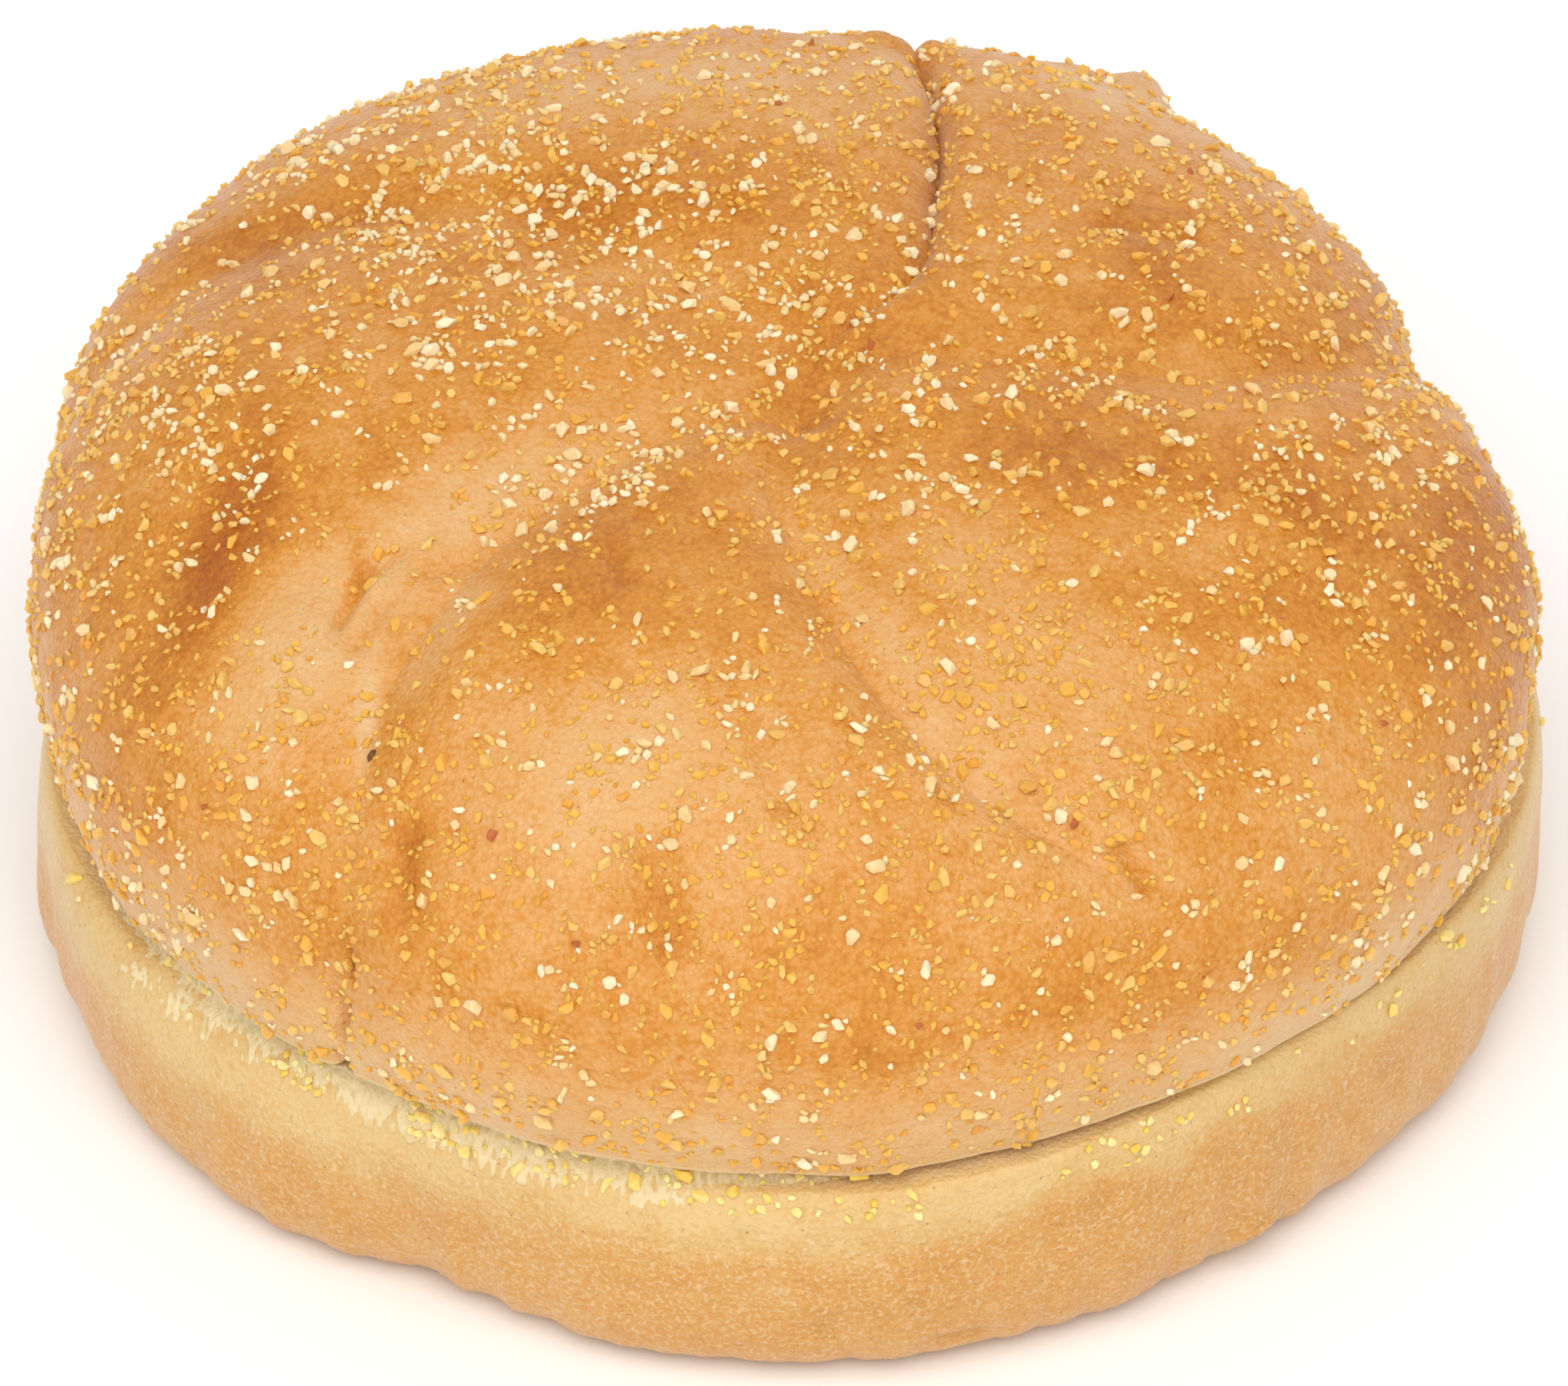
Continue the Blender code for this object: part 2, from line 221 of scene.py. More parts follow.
# Browning that is not even, and painted light: place seen from above in mm, reach along and across in mm,
# turn in degrees, and how much darker. The oven darkens what stands proud, and what opened late stays pale;
# some patches instead paint shade, highlight or sheen, as marked.
BROWNING_AND_PAINTED_LIGHT_PATCHES = (
    (-41, -17, 10, 3.2, 69, 0.28),
    (-36, 21, 12, 4, 5, 0.12),
    (-12, 20, 12, 4.5, -8, 0.10),
    (3, 0, 11, 3.5, 85, 0.08),
    (12, -2, 10, 6, 0, 0.02),
    (30, 10, 18, 8, 0, 0.05),
    (28, -12, 20, 6, -12, 0.11),
    # Painted shade on the cap's right side.
    (41, -12, 10, 4, 85, 0.03),
    (51, -11, 14, 5, 82, 0.14),
    # Painted light over the shaded flanks of two folds.
    (6, -28, 17, 2.5, -62, -0.16),
    (-25, -28, 7, 2.5, 62, -0.22),
    (-15, -20, 12, 6, 40, 0.08),
    (-26, -32, 9, 3, 78, 0.08),
    (-22, -14, 14, 4.5, 32, -0.24),
    (-33, -27, 9, 5, 60, -0.28),
    (-38, -32, 8, 5, 60, -0.07),
    (17, -30, 13, 8, -60, -0.19),
    (-10, -42, 16, 8, 0, -0.25),
    (-26, -43, 3.5, 2, 70, 0.12),
    # Painted highlight on a fold's edge, and painted shade beside it and along a hooked fold.
    (-29.8, -32.5, 4.5, 0.8, 88, -0.35),
    (-28, -34, 5, 1.2, 84, 0.12),
    (-31, -20.5, 4, 0.8, 79, 0.20),
    # Painted sheen: the back rim made paler.
    (-8, 36, 20, 7, 0, -0.20),
    (28, 40, 12, 7, -30, -0.18),
    (41, -36, 10, 5, 50, -0.12),
)
BROWNING_OF_CAP = 0.54
BROWNING_OF_RING = 0.40
LIP_PALER = 0.30
LIP_PALE_FROM = 66 * MM
LIP_PALE_TO = 78 * MM
LIP_EDGE_PALER = 0.25
BAND_FROM = 1.6 * MM
BAND_TO = 6.0 * MM
BAND_BROWNING = 0.03
BAND_WANDERS = 0.4
BAND_WANDER_SIZE = 6 * MM
BAND_FRAYS = 0.2
BAND_FRAY_SIZE = 2 * MM
CLOUDING = 0.08
CLOUD_SIZE = 9 * MM

# Where the ring's pale band runs wider: angle and reach in degrees, and how much wider.
BAND_WIDENINGS = (
    (-152, 22, 0.9),
    (-120, 22, 0.8),
    (-88, 14, 0.4),
    (-18, 18, 0.5),
)
# Painted shade: crease bottoms deeper than these depths in mm, and the grooves, are painted browner, as the
# shade in them.
CREASE_DARK_FROM = 2.3
CREASE_DARK_TO = 3.3
CREASE_PAINTED_SHADE = 0.14
GROOVE_PAINTED_SHADE = 0.15

# The torn crumb under the lip.
CRUMB_COLUMNS = 1800
CRUMB_ROWS = 30
CRUMB_GAP = 0.12 * MM
CRUMB_GAP_RAGGED = 0.25 * MM
CRUMB_BACK = 0.4 * MM
CRUMB_REACH = 2.8 * MM
CRUMB_SUNK = 0.6 * MM
CRUMB_PROUD = 0.3 * MM
CRUMB_THICK = 1.2 * MM
CRUMB_SHRED = 0.45 * MM
CRUMB_THREADS = 0.38 * MM
CRUMB_TUFTS = 2.4 * MM
CRUMB_THREADS_DRAWN = (1, 1, 0.2)
CRUMB_TUFTS_DRAWN = (1, 1, 0.5)
CRUMB_TOP_LUMPS = 2.2 * MM
CRUMB_TOP_LOWERED = 0.4
CRUMB_FOOT_LUMPS = 4 * MM
CRUMB_FOOT_WANDERS = 0.5
CRUMB_TORN_GAPE = 1.2 * MM
CRUMB_CURVES_OUT = 0.75
CRUMB_THREAD_SHARE = 0.8
CRUMB_TUFT_SHARES = (0.3, 0.2)
CRUMB_BACK_STEPS = (2.2, 1.2, 0.4)

# Cornmeal: the shapes of its grits, as shares of a lump 1 wide, and their sizes.
GRIT_SHAPES = 24
GRIT_CUTS = 6
GRIT_CUT_FROM = 0.22
GRIT_CUT_TO = 0.37
GRIT_LENGTHS = (1.0, 1.6)
GRIT_WIDTHS = (0.75, 1.05)
GRIT_THICKNESSES = (0.7, 1.0)
GRIT_LEAN = 0.4
SEAM_MEAL_PROUD = 0.08
FLECK_PROUD = 0.05
GRIT_MIDDLING = 0.60 * MM
GRIT_SPREAD = 0.34
GRIT_LEAST = 0.25 * MM
GRIT_MOST = 1.2 * MM
GRIT_APART = 0.40

# How thickly meal lies on the cap: thinly everywhere, and more in drifts. A drift is its place from above
# in mm, its reach in mm and how much more lies there, or less.
CREAM_DRIFTS = (
    (-20, 14, 19, 1.3),
    (-33, 34, 5, 1.8),
    (-30, 22, 6, 0.9),
    (-14, -14, 4.5, 3.0),
    (-10, 0, 9, 1.2),
    (-11, 22, 6, 0.8),
    (-20, -10, 6, 1.0),
    (-26, 2, 5, 1.2),
    (-5, 6, 7, 0.9),
    (-46, -8, 6, 1.6),
    (-48, 13, 5, 1.0),
    (14, 3, 7, 1.0),
    (13, -13, 5, 1.2),
    (42, -8, 7, 0.8),
    (0, -34, 6, 0.7),
    (-36, -36, 8, 0.5),
    (42, -36, 6, 0.5),
)
YELLOW_DRIFTS = (
    (-48, 2, 10, 1.1),
    (40, -12, 9, 1.0),
    (40, 12, 8, 1.1),
    (30, 25, 8, 0.8),
    (-19, 36, 9, 1.1),
    (5, 30, 9, 0.9),
    (-5, 10, 14, 0.6),
    (-14, -13, 5, 1.2),
    (26, -32, 9, 0.5),
    (-30, -38, 8, 0.3),
)
GOLD_DRIFTS = (
    (8, 46, 7, -0.3),
    (30, 38, 9, -0.3),
    (44, 20, 8, -0.3),
    (-44, 24, 8, -0.3),
    (18, -30, 10, 0.9),
    (-14, 14, 14, 0.2),
    (0, -46, 12, 0.4),
    (-30, -36, 9, 0.5),
)
BARE_PLACES = (
    (-27, -18, 8, 0.8),
    (-26, -28, 6, 0.6),
    (-8, -22, 6, 0.6),
    (24, -20, 6, 0.4),
    (25, 13, 6, 0.4),
    (-40, 20, 5, 0.6),
    (-42, 40, 7, 0.5),
    (9.6, 18, 2.0, 0.9),
    (10.1, 24, 2.0, 0.9),
    (10.4, 30, 2.0, 0.9),
    (10.4, 36, 2.0, 0.9),
    (9.5, 42, 2.0, 0.9),
    (7.5, 48, 2.0, 0.9),
)
THIN_COVER = 0.38
LEAST_COVER = 0.04
COVER_PATCHES = (6 * MM, 0.9)
CLUMP_SHARE = 0.36
CLUMP_MOST = 3
CLUMP_REACH = 0.8
STREWN_ASIDE = 0.3 * MM

# Each kind of meal: its name, how many grits, where they drift, how proud they lie as a share of
# their size, and its palest and deepest colour.
CORNMEAL = (
    ("cornmeal_cream", 2400, CREAM_DRIFTS, 0.13, "#F6E6C2", "#E6C07C"),
    ("cornmeal_yellow", 3400, YELLOW_DRIFTS, 0.04, "#E8C06C", "#D9A244"),
    ("cornmeal_gold", 2700, GOLD_DRIFTS, -0.04, "#ECB650", "#DFA63E"),
    ("cornmeal_amber", 1500, GOLD_DRIFTS, -0.16, "#EAAA42", "#DD9934"),
)

# Meal caught in the seam: angle and spread in degrees, and how many grits are tried there.
SEAM_MEAL_COLOURS = ("#F6E4A4", "#F0C754")
SEAM_MEAL = (
    (-131, 3, 34),
    (-120, 2.5, 16),
    (-117, 2.5, 16),
    (-112, 4, 12),
    (-107, 2, 14),
    (-100, 3, 12),
    (-92, 5, 24),
    (-84, 6, 26),
    (-62, 14, 30),
    (-158, 10, 10),
    (-144, 6, 8),
    (-30, 20, 16),
    (60, 80, 40),
)

# It is thrown inwards from so many radii out, at heights between so many mm below the lip.
SEAM_MEAL_DOWN = (0.6, 3.4)
THROWN_FROM = 1.3

# Flecks of toasted bran and one seed: angle in degrees, distance in mm down from the summit, size in mm.
BRAN = (
    (-114.5, 52.6, 1.1),
    (-106.2, 59.7, 0.9),
    (-64.7, 51.0, 1.1),
    (87.5, 48.6, 0.9),
    (91.5, 35.4, 1.0),
    (19.2, 9.7, 1.1),
    (16.0, 33.0, 0.9),
    (-20.0, 40.0, 0.8),
    (-35.0, 57.0, 0.8),
    (150.0, 40.0, 0.9),
    (-170.0, 57.0, 0.9),
    (-140.0, 62.0, 0.7),
    (115.0, 20.0, 0.8),
    (40.0, 45.0, 0.8),
    (-80.0, 66.0, 0.7),
    (-58.0, 68.0, 0.7),
)
BRAN_COLOUR = "#CC6A30"
BRAN_SHADED = 0.55
BRAN_FLATTENED = (0.9, 0.7, 0.3)
SEED = (-129.2, 49.4, 1.2)
SEED_COLOUR = "#7A4C26"
SEED_DRAWN = (0.35, 1.0, 0.5)

# The look of the surfaces: each mottle of the browning has a size in mm, its detail and how strong it is.
BROWNING_MOTTLES = (
    (7.0, 2.0, 0.20),
    (2.2, 2.0, 0.24),
    (0.6, 2.0, 0.26),
)

# Sizes in mm of the finer patterns, and the depths of the bumps.
PEBBLE_SIZE = 0.42
SCURF_SIZE = 0.36
PORE_SIZE = 1.3
DIMPLE_SIZE = 2.2
WRINKLE_SIZE = 1.4
CRUMB_THREAD_SIZE = 0.4
GRIT_GRAIN_SIZE = 0.6
BRAN_GRAIN_SIZE = 0.4
BUMP_OF_CRUST = 0.17 * MM
BUMP_OF_CRUMB = 0.3 * MM

# How much darker the pebbles are at their edges, as painted shade between them, and the colours of the
# finer patterns; the crumb's darkest colour is painted shade under the lip.
PEBBLE_PAINTED_SHADE = 0.16
SCURF_COLOUR = "#E8CFA2"
SPECK_COLOUR = "#8A5A2C"
CRUMB_COLOURS_AND_PAINTED_SHADE = (
    # The darkest, at the crumb's top, is painted shade under the lip.
    (0.0, "#CBAE7C"),
    (0.3, "#E2CC9C"),
    (0.65, "#EBD7AA"),
    (1.0, "#E6C68A"),
)

# Light: the white room's strength, and each lamp's name, place in metres, size in metres and power in watts.
ROOM_LIGHT = 0.68
LAMPS = (
    ("large_softbox", (-0.04, -0.52, 0.80), 0.8, 6.0),
    ("back_softbox", (0.35, 0.85, 0.30), 0.9, 1.4),
)

# Where the random draws start, and how near to each other vertices are welded.
RANDOM_SEED = 5
WELD = 0.001 * MM


def smooth_through(values, place):
    """A curve through values given at evenly spaced stations, read at place from 0 to 1."""
    values = np.asarray(values, float)
    last = len(values) - 1
    span = np.clip(np.asarray(place, float) * last, 0, last - 1e-9)
    i = span.astype(int)
    t = span - i
    before = values[np.maximum(i - 1, 0)]
    here, after = values[i], values[i + 1]
    beyond = values[np.minimum(i + 2, last)]
    slope_in, slope_out = (after - before) / 2, (beyond - here) / 2
    return (
        here * (2 * t**3 - 3 * t**2 + 1)
        + slope_in * (t**3 - 2 * t**2 + t)
        + after * (3 * t**2 - 2 * t**3)
        + slope_out * (t**3 - t**2)
    )


def turned(angle):
    """The angle brought between minus and plus half a turn."""
    return (angle + math.pi) % (2 * math.pi) - math.pi


def lumps(points, size, seed=0.0):
    """Smooth noise from -1 to 1 at each point, with lumps of about the given size."""
    flat = points.reshape(-1, 3) / size + seed
    return np.array([noise.noise(Vector(p)) for p in flat]).reshape(points.shape[:-1])


def eased(share):
    """A share from 0 to 1 that starts and ends softly."""
    return share * share * (3 - 2 * share)


def near_angle(angle, middle, reach):
    """1 at the middle angle, falling softly to 0 over the reach, both in degrees."""
    return np.exp(-((turned(angle - math.radians(middle)) / math.radians(reach)) ** 2))


def near_place(points, place, reach):
    """1 at the place, seen from above, falling softly to 0 over the reach, in the same unit."""
    return np.exp(-((points - place) ** 2).sum(-1) / reach**2)


def crease_angle(crease, place):
    """Angle of a crease's bottom at a place from middle to rim."""
    return np.radians(smooth_through(crease[0], place))


def column_angles(place):
    """Angles of all columns at a place from middle to rim: they run along the creases and between them."""
    steps = np.arange(PETAL_COLUMNS) / PETAL_COLUMNS
    steps = steps - CREASE_CROWDING * np.sin(2 * np.pi * steps) / (2 * np.pi)
    angles = []
    for crease, following in zip(CREASES, CREASES[1:] + CREASES[:1]):
        start = crease_angle(crease, place)
        stop = crease_angle(following, place)
        if following is CREASES[0]:
            stop = stop + 2 * np.pi
        angles.extend(start + (stop - start) * steps)
    return np.array(angles)


def uneven_round(radius, outline, angle):
    """A circle's radius, swollen and pinched by waves: how many, and their cosine and sine shares."""
    swell = sum(c * np.cos(n * angle) + s * np.sin(n * angle) for n, c, s in outline)
    return radius * (1 + swell)


def cap_radius(angle):
    """The cap's radius at its shoulder."""
    return uneven_round(CAP_RADIUS, CAP_OUTLINE, angle)


def around(angle):
    """Unit vectors that point outwards at these angles."""
    return np.stack([np.cos(angle), np.sin(angle)], axis=-1)


def dome_point(place, angle):
    """Points and outward normals of the smooth dome."""
    rim = CAP_MIDDLE + cap_radius(angle)[:, None] * around(angle)
    plan = SWIRL_MIDDLE * (1 - place) + rim * place
    out = plan - CAP_MIDDLE
    reach = np.hypot(out[:, 0], out[:, 1])
    share = np.clip(reach / cap_radius(np.arctan2(out[:, 1], out[:, 0])), 0, 1)
    height = CAP_TOP_Z - CAP_SHOULDER_Z
    rise = (1 - share**DOME_POWER) ** (1 / DOME_POWER)
    outward = share ** (DOME_POWER - 1) / CAP_RADIUS
    upward = rise ** (DOME_POWER - 1) / height
    length = np.hypot(outward, upward)
    unit = out / np.maximum(reach, 1e-9)[:, None]
    point = np.column_stack([plan, CAP_SHOULDER_Z + height * rise])
    normal = np.column_stack([unit * (outward / length)[:, None], upward / length])
    return point, normal


def dome_places():
    """Places from the middle to the rim, evenly spaced along the dome's profile."""
    turn = np.linspace(0, np.pi / 2, 400)
    share = np.sin(turn) ** (2 / DOME_POWER)
    rise = np.cos(turn) ** (2 / DOME_POWER)
    step = np.hypot(np.diff(share) * CAP_RADIUS, np.diff(rise) * (CAP_TOP_Z - CAP_SHOULDER_Z))
    travelled = np.concatenate([[0], np.cumsum(step)])
    return np.interp(np.linspace(0, travelled[-1], DOME_ROWS + 1), travelled, share)[1:]


def crease_cut(place, angle):
    """Depth of the creases in mm."""
    radius = place * CAP_RADIUS
    cut = np.zeros_like(angle)
    for angles, depths, clockwise, counter, sharp in CREASES:
        off = turned(angle - np.radians(smooth_through(angles, place))) * radius / MM
        near = np.abs(off) / np.where(off > 0, counter, clockwise)
        shape = sharp * np.exp(-CREASE_FALL * near) + (1 - sharp) * np.exp(-(near**2))
        cut += (smooth_through(depths, place) * shape) ** CREASE_JOIN
    return cut ** (1 / CREASE_JOIN)


def petal_swell(place, angle):
    """Height of the petals' swells and hollows in mm."""
    here = place * CAP_RADIUS * around(angle) / MM
    height = np.zeros_like(angle)
    for at, along, reach, raised in SWELLS:
        middle = along * CAP_RADIUS * around(math.radians(at)) / MM
        height += raised * near_place(here, middle, reach)
    return height


def unevenness(points, waves=UNEVENNESS):
    """The soft lumps of the dough, as waves of a few sizes and heights."""
    return sum(lumps(points, wave) * height for wave, height in waves)


def seam_gape(angle):
    """Height of the seam's mouth."""
    gape = np.full_like(angle, SEAM_CLOSED)
    for at, reach, height in TEARS:
        gape += height * MM * near_angle(angle, at, reach)
    return gape


def lip_height(angle):
    """Height of the lip's lower edge, ragged and in five waves."""
    ragged = unevenness(np.column_stack([around(angle), 0 * angle]) * CAP_RADIUS, LIP_RAGGED)
    return LIP_Z + LIP_WAVE * np.cos(LIP_WAVES * (angle - LIP_WAVE_AT)) + ragged


def ring_widest(angle):
    """The ring's radius where it is widest."""
    return uneven_round(RING_RADIUS, RING_OUTLINE, angle)


def shoulder_in(angle):
    """How far the ring's top edge stands in from its widest part: more where the seam is torn."""
    return SHOULDER_IN + SHOULDER_TORN_IN * (seam_gape(angle) - SEAM_CLOSED)


def foot_lobes(angle):
    """How far the foot swells out, or is flattened."""
    unit = around(angle)
    places = np.column_stack([unit * FOOT_LOBE_WAVES, np.full_like(angle, FOOT_LOBE_START)])
    edge = np.column_stack([unit, 0 * angle]) * RING_RADIUS
    lobes = FOOT_LOBE * lumps(places, 1.0) + unevenness(edge, FOOT_STEPS)
    lobes += FOOT_TOOTH * np.round(FOOT_TOOTH_STEPS * lumps(edge, FOOT_TEETH, seed=6.0))
    for at, reach, depth in FOOT_CUTS:
        lobes -= depth * MM * near_angle(angle, at, reach)
    return lobes


def flat_row(middle, unit, radius, height):
    """A row of points at these radii round a middle, at one height or at a height each."""
    return np.column_stack([middle + unit * radius[:, None], np.broadcast_to(height, radius.shape)])


def pushed_out(row, unit, amount):
    """The row moved outwards, level, by an amount for each point."""
    return row + np.column_stack([unit, np.zeros(len(unit))]) * amount[:, None]


def dome_part():
    """Rows of the cap's top, from the first ring round the middle to the shoulder."""
    for place in dome_places():
        angle = column_angles(place)
        point, normal = dome_point(place, angle)
        cut, swell = crease_cut(place, angle), petal_swell(place, angle)
        raised = (swell - cut) * MM + unevenness(point)
        yield point + normal * raised[:, None]


def side_part(angle, lip_z):
    """Rows of the cap's side, and of the lip's rounded edge."""
    rim_relief = (petal_swell(1.0, angle) - crease_cut(1.0, angle)) * MM
    unit = around(angle)
    for fall in np.linspace(0, 1, SIDE_ROWS + 1)[1:]:
        radius = cap_radius(angle) - LIP_TUCK * fall**2 + rim_relief * (1 - LIP_CALM * fall)
        height = CAP_SHOULDER_Z + (lip_z + LIP_ROUND - CAP_SHOULDER_Z) * fall
        row = flat_row(CAP_MIDDLE, unit, radius, height)
        last = pushed_out(row, unit, unevenness(row))
        yield last
    for turn in np.linspace(0, np.pi / 2, LIP_ROWS + 1)[1:]:
        inward = unit * LIP_ROUND * (1 - math.cos(turn))
        yield np.column_stack([last[:, :2] - inward, lip_z + LIP_ROUND * (1 - math.sin(turn))])


def seam_part(edge, angle, lip_z):
    """Rows from under the lip to the seam's root, and out again over the torn ledge."""
    unit = around(angle)
    gape = seam_gape(angle)
    root = edge[:, :2] - unit * (SEAM_DEPTH - LIP_ROUND)
    for inward in np.linspace(0, 1, UNDER_ROWS + 1)[1:]:
        plan = edge[:, :2] * (1 - inward) + root * inward
        yield np.column_stack([plan, lip_z - ROOT_TOP * gape * inward])
    for down in np.linspace(0, 1, ROOT_ROWS + 1)[1:]:
        yield np.column_stack([root, lip_z - (ROOT_TOP + ROOT_HEIGHT * down) * gape])
    shoulder = RING_MIDDLE + unit * (ring_widest(angle) - shoulder_in(angle))[:, None]
    for outward in np.linspace(0, 1, LEDGE_ROWS + 1)[1:-1]:
        plan = root * (1 - outward) + shoulder * outward
        yield np.column_stack([plan, lip_z - (LEDGE_TOP + LEDGE_HEIGHT * outward) * gape])


def ring_part(angle, lip_z):
    """Rows of the ring: round shoulder, widest part, foot, and the flat base."""
    unit = around(angle)
    shoulder_z = lip_z - seam_gape(angle)
    widest = ring_widest(angle)
    lobes = foot_lobes(angle)
    for turn in np.linspace(np.pi / 2, 0, SHOULDER_ROWS + 1):
        above = math.sin(turn) ** (2 / SHOULDER_POWER)
        inward = shoulder_in(angle) * (1 - math.cos(turn) ** (2 / SHOULDER_POWER))
        radius = widest - inward + lobes * (1 - above) * FOOT_LOBE_AT_WIDEST
        row = flat_row(RING_MIDDLE, unit, radius, RING_WIDEST_Z + (shoulder_z - RING_WIDEST_Z) * above)
        yield pushed_out(row, unit, unevenness(row) * (1 - above) * RING_UNEVENNESS)
    for turn in np.linspace(0, np.pi / 2, FOOT_ROWS + 1)[1:]:
        below = math.sin(turn) ** (2 / FOOT_POWER)
        inward = FOOT_IN * (1 - math.cos(turn) ** (2 / FOOT_POWER))
        radius = widest - inward + lobes * (FOOT_LOBE_AT_WIDEST + (1 - FOOT_LOBE_AT_WIDEST) * below)
        row = flat_row(RING_MIDDLE, unit, radius, RING_WIDEST_Z * (1 - below))
        last = pushed_out(row, unit, unevenness(row) * (1 - below) * RING_UNEVENNESS)
        yield last
    for inward in np.linspace(1, 0, BASE_ROWS + 1)[1:-1]:
        yield np.column_stack([last[:, :2] * inward, np.zeros_like(angle)])


def crust_rows():
    """All rows of the crust, from the summit to the middle of the base."""
    rows = list(dome_part())
    angle = column_angles(1.0)
    lip_z = lip_height(angle)
    rows.extend(side_part(angle, lip_z))
    rows.extend(seam_part(rows[-1], angle, lip_z))
    rows.extend(ring_part(angle, lip_z))
    return np.array(rows)


def distance_down(rows):
    """Each row's mean distance from the summit along the surface, and past it under the lip and down."""
    first = np.linalg.norm(rows[0] - rows[0].mean(0), axis=1).mean()
    steps = np.linalg.norm(np.diff(rows, axis=0), axis=2).mean(1)
    return first + np.concatenate([[0], np.cumsum(steps)])


def stroke_heights(rows, angles, down):
    """Height in mm of the fine grooves, folds and scars, row by row."""
    height = np.zeros(angles.shape)
    radius = np.linalg.norm(rows[..., :2], axis=2) / MM
    for angle_0, down_0, angle_1, down_1, width, raised in STROKES:
        row = np.argmin(np.abs(down / MM - down_0))
        run = math.radians(angle_1 - angle_0) * radius[row].mean(), down_1 - down_0
        sideways = turned(angles - math.radians(angle_0)) * radius
        downwards = down[:, None] / MM - down_0
        share = np.clip((sideways * run[0] + downwards * run[1]) / (run[0] ** 2 + run[1] ** 2), 0, 1)
        off = np.hypot(sideways - share * run[0], downwards - share * run[1])
        height += raised * np.exp(-((off / width) ** 2))
    return height


def row_normals(rows):
    """Outward normals of a closed grid of rows that run round the roll."""
    onward = np.roll(rows, -1, 1) - np.roll(rows, 1, 1)
    downward = np.gradient(rows, axis=0)
    normal = np.cross(downward, onward)
    return normal / np.maximum(np.linalg.norm(normal, axis=2, keepdims=True), 1e-12)


def browning(rows, down, raised):
    """How brown the crust is at each vertex, from 0, pale, to 1, dark, with painted light added: grooves and
    deep crease bottoms are painted darker as shade, and some patches paint shade, highlight or sheen.
    """
    plan = rows[..., :2] / MM
    brown_and_painted_light = np.full(rows.shape[:2], BROWNING_OF_CAP)
    for x, y, along, across, turn, darker in BROWNING_AND_PAINTED_LIGHT_PATCHES:
        turn = math.radians(turn)
        off_x, off_y = plan[..., 0] - x, plan[..., 1] - y
        lengthways = off_x * math.cos(turn) + off_y * math.sin(turn)
        sideways = off_y * math.cos(turn) - off_x * math.sin(turn)
        brown_and_painted_light += darker * np.exp(-((lengthways / along) ** 2) - (sideways / across) ** 2)
    # Painted shade in the deep bottoms of the creases.
    for row, place in enumerate(dome_places()):
        cut = crease_cut(place, column_angles(place))
        deep = np.clip((cut - CREASE_DARK_FROM) / (CREASE_DARK_TO - CREASE_DARK_FROM), 0, 1)
        brown_and_painted_light[row] += CREASE_PAINTED_SHADE * deep
    fall = np.clip((down - LIP_PALE_FROM) / (LIP_PALE_TO - LIP_PALE_FROM), 0, 1)
    brown_and_painted_light -= LIP_PALER * eased(fall)[:, None]
    below = down[RING_ROW:] - down[RING_ROW]
    ring = rows[RING_ROW:]
    angle = np.arctan2(ring[..., 1], ring[..., 0])
    edge = 1 + BAND_WANDERS * lumps(ring, BAND_WANDER_SIZE)
    edge += BAND_FRAYS * lumps(ring, BAND_FRAY_SIZE, seed=4.0)
    for middle, reach, wider in BAND_WIDENINGS:
        edge += wider * near_angle(angle, middle, reach)
    share = np.clip((below[:, None] / edge - BAND_FROM) / (BAND_TO - BAND_FROM), 0, 1)
    brown_and_painted_light[RING_ROW:] = BAND_BROWNING + (BROWNING_OF_RING - BAND_BROWNING) * eased(share)
    brown_and_painted_light[SEAM_ROW:RING_ROW] = BAND_BROWNING
    brown_and_painted_light[SEAM_ROW - LIP_ROWS : SEAM_ROW] -= LIP_EDGE_PALER
    clouds = CLOUDING * lumps(rows, CLOUD_SIZE, seed=3.0)
    # Grooves are painted darker, as shade in them.
    return brown_and_painted_light + clouds - GROOVE_PAINTED_SHADE * np.minimum(raised, 0)


def add_camera():
    """The photograph's view: a long lens, looking down on the roll from the front."""
    data = bpy.data.cameras.new("photo_view")
    data.sensor_width = 36
    data.lens = PHOTO_FOCUS / PHOTO_WIDTH * data.sensor_width
    data.clip_end = 20
    camera = bpy.data.objects.new("photo_view", data)
    back = Vector((0, -math.cos(CAMERA_ELEVATION), math.sin(CAMERA_ELEVATION)))
    camera.location = CAMERA_AIM + back * CAMERA_DISTANCE
    camera.rotation_euler = (math.pi / 2 - CAMERA_ELEVATION, 0, 0)
    bpy.context.scene.collection.objects.link(camera)
    bpy.context.scene.camera = camera


def linear(shade):
    """An sRGB hex value as a linear colour."""
    shares = [int(shade[i : i + 2], 16) / 255 for i in (1, 3, 5)]
    return [s / 12.92 if s <= 0.04045 else ((s + 0.055) / 1.055) ** 2.4 for s in shares] + [1.0]


def add_node(material, kind, settings=None, links=None):
    """Adds a node. A setting is a socket's value, a ramp's stops or a property; a link is a source."""
    node = material.node_tree.nodes.new("ShaderNode" + kind)
    for name, value in (settings or {}).items():
        if name == "stops":
            points = node.color_ramp.elements
            while len(points) < len(value):
                points.new(1.0)
            for point, (position, shade) in zip(points, value):
                point.position, point.color = position, linear(shade)
        elif isinstance(name, int) or name in node.inputs:
            node.inputs[name].default_value = value
        else:
            setattr(node, name, value)
    for name, source in (links or {}).items():
        material.node_tree.links.new(source, node.inputs[name])
    return node


